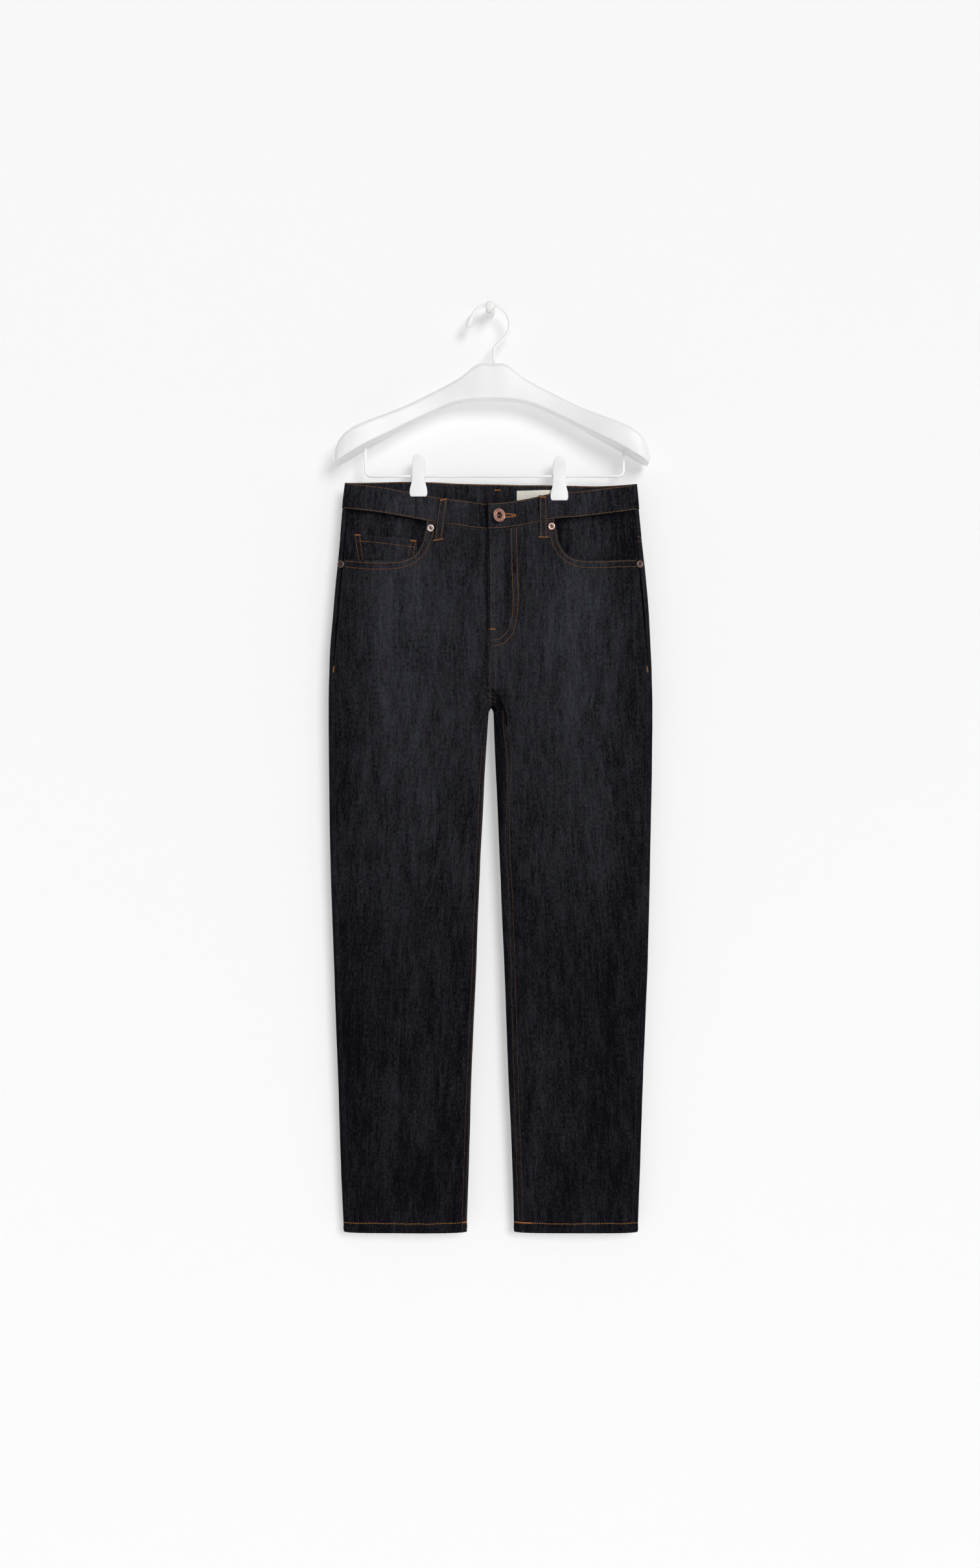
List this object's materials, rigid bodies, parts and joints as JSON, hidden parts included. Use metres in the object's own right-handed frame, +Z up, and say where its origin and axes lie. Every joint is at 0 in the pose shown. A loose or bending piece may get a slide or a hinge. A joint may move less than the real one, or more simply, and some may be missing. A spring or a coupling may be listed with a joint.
{
  "type": "jeans on a clip hanger with a wall peg",
  "caption": "Faded black denim jeans with tan topstitching, clipped by the waist in a white trouser hanger that hangs from a white wall peg.",
  "frame": {"origin": "middle of the wall peg's back face, where the peg meets the wall", "axes": "+Z up along the garment's length, +Y into the wall, +X to the viewer's right, which is the wearer's left"},
  "size_m": [0.4689, 0.0565, 1.3495],
  "materials": {
    "denim": "faded black twill with vertical slubs, dry and matt, tan topstitching",
    "denim_facing": "unfaded black twill, dry and matt",
    "copper": "satin copper plating, slightly aged",
    "label": "blank cream woven label",
    "hanger_plastic": "white moulded plastic with a satin gloss",
    "hanger_wire": "white coated wire",
    "peg": "white painted turned peg"
  },
  "bodies": {
    "root": {"front_right": "denim", "front_left": "denim", "back_right": "denim", "back_left": "denim", "yoke_right": "denim", "yoke_left": "denim", "waistband": "denim", "back_pocket_right": "denim", "back_pocket_left": "denim", "belt_loop_front_right": "denim", "belt_loop_front_left": "denim", "belt_loop_back_right": "denim", "belt_loop_back_left": "denim", "belt_loop_centre_back": "denim", "pocket_facing_right": "denim_facing", "pocket_facing_left": "denim_facing", "coin_pocket": "denim_facing", "waist_button": "copper", "rivet_right_inner": "copper", "rivet_right_outer": "copper", "rivet_left_inner": "copper", "rivet_left_outer": "copper", "waist_label": "label", "hanger_body": "hanger_plastic", "hook_tip": "hanger_plastic", "clip_right_front": "hanger_plastic", "clip_right_back": "hanger_plastic", "clip_left_front": "hanger_plastic", "clip_left_back": "hanger_plastic", "hanger_hook": "hanger_wire", "hanger_bar": "hanger_wire", "wall_peg": "peg"}
  },
  "joints": []
}
